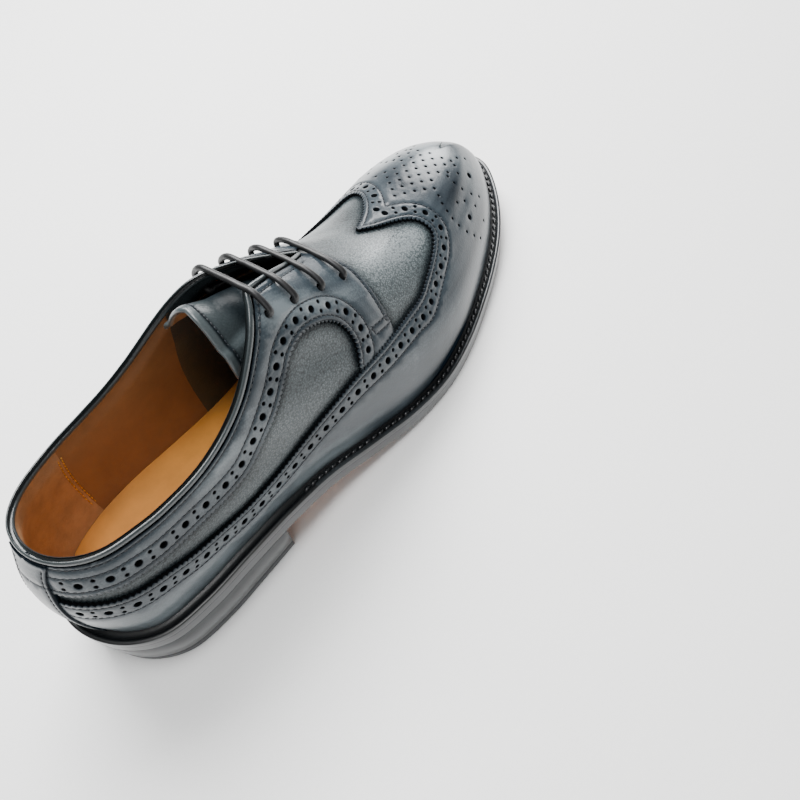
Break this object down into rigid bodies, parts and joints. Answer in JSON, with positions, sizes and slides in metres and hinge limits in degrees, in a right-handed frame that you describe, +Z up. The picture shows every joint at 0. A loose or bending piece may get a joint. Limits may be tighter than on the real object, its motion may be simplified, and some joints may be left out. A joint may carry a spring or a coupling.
{
  "type": "longwing brogue shoe",
  "caption": "Right longwing derby shoe with a hollow leather upper, welted leather sole and stacked heel, laced over a tongue.",
  "frame": {"origin": "on the floor under the middle of the shoe's bounding box", "axes": "+X from heel to toe, +Y towards the inside of the foot, +Z up"},
  "size_m": [0.297, 0.103, 0.1172],
  "materials": {
    "sole_leather": "smooth sole leather, oiled, lightly glossy",
    "welt_leather": "inked welt leather, glossy, stitched",
    "heel_leather": "stacked leather, painted grey, satin",
    "heel_rubber": "hard heel rubber, matt",
    "lining_leather": "smooth vegetable-tanned lining, satin",
    "upper_leather": "hand-burnished calf, blue-grey, polished",
    "tongue_leather": "soft calf, dark grey, satin",
    "lace_cotton": "waxed round cotton, dark"
  },
  "bodies": {
    "root": {"outsole": "sole_leather", "welt": "welt_leather", "heel_stack": "heel_leather", "top_piece": "heel_rubber", "insole": "lining_leather", "upper": "upper_leather", "wing_band": "upper_leather", "facing_outer": "upper_leather", "facing_inner": "upper_leather", "back_strip": "upper_leather", "tongue": "tongue_leather", "lace": "lace_cotton"}
  },
  "joints": []
}
